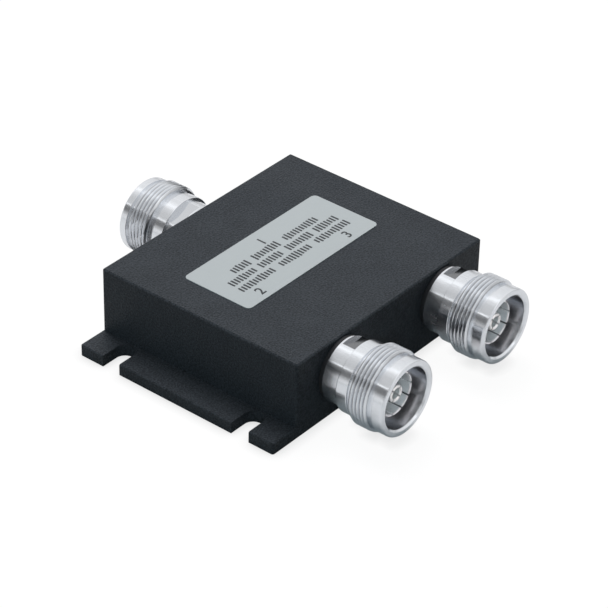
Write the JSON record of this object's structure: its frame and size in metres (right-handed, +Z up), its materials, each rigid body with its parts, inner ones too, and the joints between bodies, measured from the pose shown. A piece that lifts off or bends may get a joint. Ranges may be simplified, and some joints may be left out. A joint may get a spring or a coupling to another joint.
{
  "type": "rf power splitter",
  "caption": "Flat milled box that splits a radio-frequency line: threaded coaxial jack at the back, jacks at the front, slotted mounting ears, label on top and a divider circuit inside.",
  "frame": {"origin": "centre of the four mounting slots, on the surface the box stands on", "axes": "+Z up; X across the mounting ears; +Y out of the input jack and -Y out of the output jacks"},
  "size_m": [0.0838, 0.0951, 0.0217],
  "materials": {
    "housing_coat": "fine-grained black powder coat on milled aluminium",
    "cover_coat": "fine-grained black powder coat",
    "gasket_rubber": "matt grey silicone",
    "screw_steel": "plain zinc-plated steel",
    "label_film": "silver-grey printed film",
    "laminate": "cream glass-fibre laminate",
    "copper": "bare copper foil",
    "ceramic": "dark glazed chip ceramic",
    "tinned_metal": "tinned end caps",
    "solder": "bright solder",
    "jack_plating": "turned brass with bright white-bronze plating",
    "contact_plating": "plated spring contact",
    "insulator_white": "white PTFE",
    "centre_plating": "silver-plated contact",
    "seal_rubber": "black rubber"
  },
  "bodies": {
    "root": {"housing": "housing_coat", "bottom_cover": "cover_coat", "cover_gasket": "gasket_rubber", "cover_screws": "screw_steel", "label": "label_film", "circuit_board": "laminate", "circuit_copper": "copper", "isolation_resistors": "ceramic", "resistor_ends": "tinned_metal", "board_screws": "screw_steel", "solder_joints": "solder", "input_shell": "jack_plating", "input_outer_contact": "contact_plating", "input_insulator": "insulator_white", "input_centre_contact": "centre_plating", "output_left_shell": "jack_plating", "output_left_outer_contact": "contact_plating", "output_left_insulator": "insulator_white", "output_left_centre_contact": "centre_plating", "output_left_seal": "seal_rubber", "output_right_shell": "jack_plating", "output_right_outer_contact": "contact_plating", "output_right_insulator": "insulator_white", "output_right_centre_contact": "centre_plating", "output_right_seal": "seal_rubber"}
  },
  "joints": []
}
